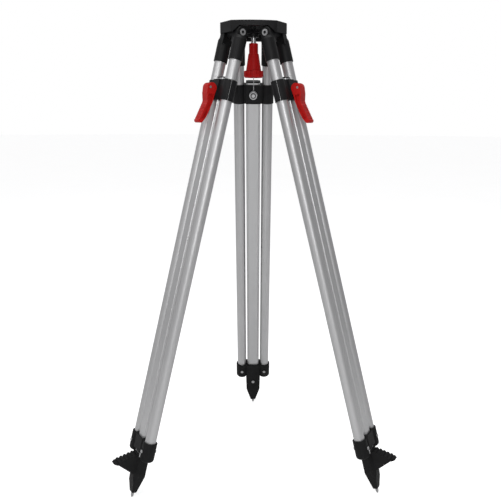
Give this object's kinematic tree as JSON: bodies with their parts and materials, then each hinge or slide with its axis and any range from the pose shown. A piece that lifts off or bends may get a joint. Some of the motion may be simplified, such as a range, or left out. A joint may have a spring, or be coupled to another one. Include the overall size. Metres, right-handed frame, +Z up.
{
  "type": "surveyor tripod",
  "caption": "Flat-head surveying tripod with a captive centre screw and three telescopic twin-tube legs, each with a cam-lever clamp, a step foot and a steel point.",
  "frame": {"origin": "centre of the head's flat top face", "axes": "+Z up out of the head's face, +Y towards the rear leg, +X to the right seen from the side opposite the rear leg"},
  "size_m": [0.6578, 0.5742, 1.0504],
  "materials": {
    "head_paint": "satin black paint on cast aluminium",
    "black_plastic": "moulded, satin",
    "clamp_black": "satin black",
    "foot_black": "fine moulded texture",
    "tube_aluminium": "satin anodised",
    "profile_aluminium": "satin anodised",
    "fastener_steel": "bright zinc plate",
    "black_steel": "black oxide steel",
    "lever_red": "satin red plastic",
    "knob_red": "satin red plastic"
  },
  "bodies": {
    "head": {"head_plate": "head_paint", "arm_pivot_screw": "fastener_steel"},
    "arm": {"swing_arm": "black_steel"},
    "block": {"slide_block": "black_steel", "block_sleeve": "black_plastic"},
    "carriage": {"knob_washer": "fastener_steel"},
    "screw": {"centre_screw": "fastener_steel", "centre_knob": "knob_red", "plumb_hook": "fastener_steel"},
    "upper_rear": {"hinge_cap_a_rear": "black_plastic", "hinge_cap_b_rear": "black_plastic", "tube_a_rear": "tube_aluminium", "tube_b_rear": "tube_aluminium", "hinge_fasteners_rear": "fastener_steel", "guide_bracket_rear": "foot_black", "bracket_rivets_rear": "fastener_steel"},
    "lower_rear": {"slide_profile_rear": "profile_aluminium", "profile_end_cap_rear": "black_plastic", "clamp_inner_rear": "clamp_black", "clamp_outer_rear": "clamp_black", "clamp_fasteners_rear": "fastener_steel", "lever_pin_rear": "fastener_steel", "foot_rear": "foot_black", "spike_rear": "fastener_steel", "foot_rivet_rear": "fastener_steel"},
    "lever_rear": {"lever_rear": "lever_red"},
    "upper_left": {"hinge_cap_a_left": "black_plastic", "hinge_cap_b_left": "black_plastic", "tube_a_left": "tube_aluminium", "tube_b_left": "tube_aluminium", "hinge_fasteners_left": "fastener_steel", "guide_bracket_left": "foot_black", "bracket_rivets_left": "fastener_steel"},
    "lower_left": {"slide_profile_left": "profile_aluminium", "profile_end_cap_left": "black_plastic", "clamp_inner_left": "clamp_black", "clamp_outer_left": "clamp_black", "clamp_fasteners_left": "fastener_steel", "lever_pin_left": "fastener_steel", "foot_left": "foot_black", "spike_left": "fastener_steel", "foot_rivet_left": "fastener_steel"},
    "lever_left": {"lever_left": "lever_red"},
    "upper_right": {"hinge_cap_a_right": "black_plastic", "hinge_cap_b_right": "black_plastic", "tube_a_right": "tube_aluminium", "tube_b_right": "tube_aluminium", "hinge_fasteners_right": "fastener_steel", "guide_bracket_right": "foot_black", "bracket_rivets_right": "fastener_steel"},
    "lower_right": {"slide_profile_right": "profile_aluminium", "profile_end_cap_right": "black_plastic", "clamp_inner_right": "clamp_black", "clamp_outer_right": "clamp_black", "clamp_fasteners_right": "fastener_steel", "lever_pin_right": "fastener_steel", "foot_right": "foot_black", "spike_right": "fastener_steel", "foot_rivet_right": "fastener_steel"},
    "lever_right": {"lever_right": "lever_red"}
  },
  "joints": [
    {"name": "arm_swing", "type": "hinge", "parent": "head", "child": "arm", "pos_m": [-0.03291, 0.019, -0.018], "axis": [0, 0, 1], "range_deg": [-18, 18]},
    {"name": "block_slide", "type": "slide", "parent": "arm", "child": "block", "axis": [0.866, -0.5, 0], "range_m": [-0.012, 0.012]},
    {"name": "screw_lift", "type": "slide", "parent": "block", "child": "carriage", "axis": [0, 0, 1], "range_m": [0, 0.0098]},
    {"name": "screw_turn", "type": "hinge", "parent": "carriage", "child": "screw", "pos_m": [0, 0, -0.06], "axis": [0, 0, 1], "continuous": true},
    {"name": "leg_rear_spread", "type": "hinge", "parent": "head", "child": "upper_rear", "pos_m": [0, 0.049, -0.0236], "axis": [1, 0, 0], "range_deg": [-15.6, 20]},
    {"name": "leg_rear_extend", "type": "slide", "parent": "upper_rear", "child": "lower_rear", "axis": [0, 0.2703, -0.9628], "range_m": [0, 0.75]},
    {"name": "lever_rear_open", "type": "hinge", "parent": "lower_rear", "child": "lever_rear", "pos_m": [0, 0.11217, -0.13134], "axis": [1, 0, 0], "range_deg": [0, 90]},
    {"name": "leg_left_spread", "type": "hinge", "parent": "head", "child": "upper_left", "pos_m": [-0.04244, -0.0245, -0.0236], "axis": [-0.5, 0.866, 0], "range_deg": [-15.6, 20]},
    {"name": "leg_left_extend", "type": "slide", "parent": "upper_left", "child": "lower_left", "axis": [-0.2341, -0.1351, -0.9628], "range_m": [0, 0.75]},
    {"name": "lever_left_open", "type": "hinge", "parent": "lower_left", "child": "lever_left", "pos_m": [-0.09714, -0.05608, -0.13134], "axis": [-0.5, 0.866, 0], "range_deg": [0, 90]},
    {"name": "leg_right_spread", "type": "hinge", "parent": "head", "child": "upper_right", "pos_m": [0.04244, -0.0245, -0.0236], "axis": [-0.5, -0.866, 0], "range_deg": [-15.6, 20]},
    {"name": "leg_right_extend", "type": "slide", "parent": "upper_right", "child": "lower_right", "axis": [0.2341, -0.1351, -0.9628], "range_m": [0, 0.75]},
    {"name": "lever_right_open", "type": "hinge", "parent": "lower_right", "child": "lever_right", "pos_m": [0.09714, -0.05608, -0.13134], "axis": [-0.5, -0.866, 0], "range_deg": [0, 90]}
  ]
}
